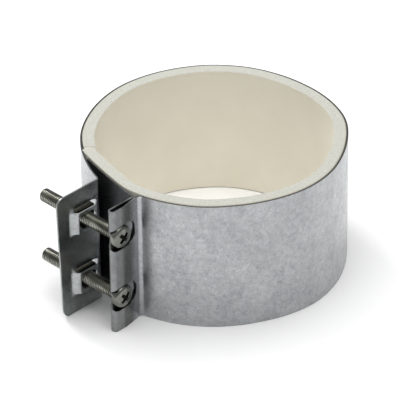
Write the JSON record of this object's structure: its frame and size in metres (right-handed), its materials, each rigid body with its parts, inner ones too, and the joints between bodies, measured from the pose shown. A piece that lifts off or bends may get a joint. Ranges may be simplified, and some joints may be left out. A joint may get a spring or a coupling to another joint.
{
  "type": "pipe repair clamp",
  "caption": "Foam-lined steel band clamp with folded lugs, drawn closed around a pipe by cross-recess screws and captive square nuts.",
  "frame": {"origin": "on the axis of the pipe bore, at the middle of the band's width", "axes": "+Z along the pipe; the lugs stand out at azimuth -135 degrees, and the screws run along the direction (1, -1, 0), heads towards +X"},
  "size_m": [0.1308, 0.1173, 0.06],
  "materials": {
    "galvanised_steel": "hot-dip galvanised sheet, cloudy grey, semi-gloss",
    "foam": "matt cream cellular rubber, fine grained",
    "adhesive": "thin self-adhesive film",
    "zinc_plated_steel": "zinc plated with a slight olive tint"
  },
  "bodies": {
    "rear_half": {"band_rear": "galvanised_steel", "lining_rear": "foam", "adhesive_rear": "adhesive"},
    "front_half": {"band_front": "galvanised_steel", "band_tongue": "galvanised_steel", "lining_front": "foam", "lining_tongue": "foam", "adhesive_front": "adhesive", "adhesive_tongue": "adhesive"},
    "screw_upper": {"screw_upper": "zinc_plated_steel"},
    "screw_lower": {"screw_lower": "zinc_plated_steel"},
    "nut_upper": {"nut_upper": "zinc_plated_steel"},
    "nut_lower": {"nut_lower": "zinc_plated_steel"}
  },
  "joints": [
    {"name": "band_flex", "type": "hinge", "parent": "rear_half", "child": "front_half", "pos_m": [0.04031, 0.04031, 0], "axis": [0, 0, -1], "range_deg": [-4, 4.65], "deforming": ["band_tongue", "lining_tongue", "adhesive_tongue"]},
    {"name": "screw_upper_turn", "type": "hinge", "parent": "front_half", "child": "screw_upper", "pos_m": [-0.04766, -0.04766, 0.0156], "axis": [-0.7071, 0.7071, 0], "range_deg": [-3127, 3635]},
    {"name": "screw_lower_turn", "type": "hinge", "parent": "front_half", "child": "screw_lower", "pos_m": [-0.04766, -0.04766, -0.0144], "axis": [-0.7071, 0.7071, 0], "range_deg": [-3127, 3635]},
    {"name": "nut_upper_travel", "type": "slide", "parent": "front_half", "child": "nut_upper", "axis": [0.7071, -0.7071, 0], "range_m": [-0.0088, 0.0102]},
    {"name": "nut_lower_travel", "type": "slide", "parent": "front_half", "child": "nut_lower", "axis": [0.7071, -0.7071, 0], "range_m": [-0.0088, 0.0102]}
  ],
  "couplings": [
    {"joint": "screw_upper_turn", "follows": "band_flex", "ratio": 781.63},
    {"joint": "screw_lower_turn", "follows": "band_flex", "ratio": 781.63},
    {"joint": "nut_upper_travel", "follows": "band_flex", "m_per_rad": 0.1244},
    {"joint": "nut_lower_travel", "follows": "band_flex", "m_per_rad": 0.1244}
  ]
}
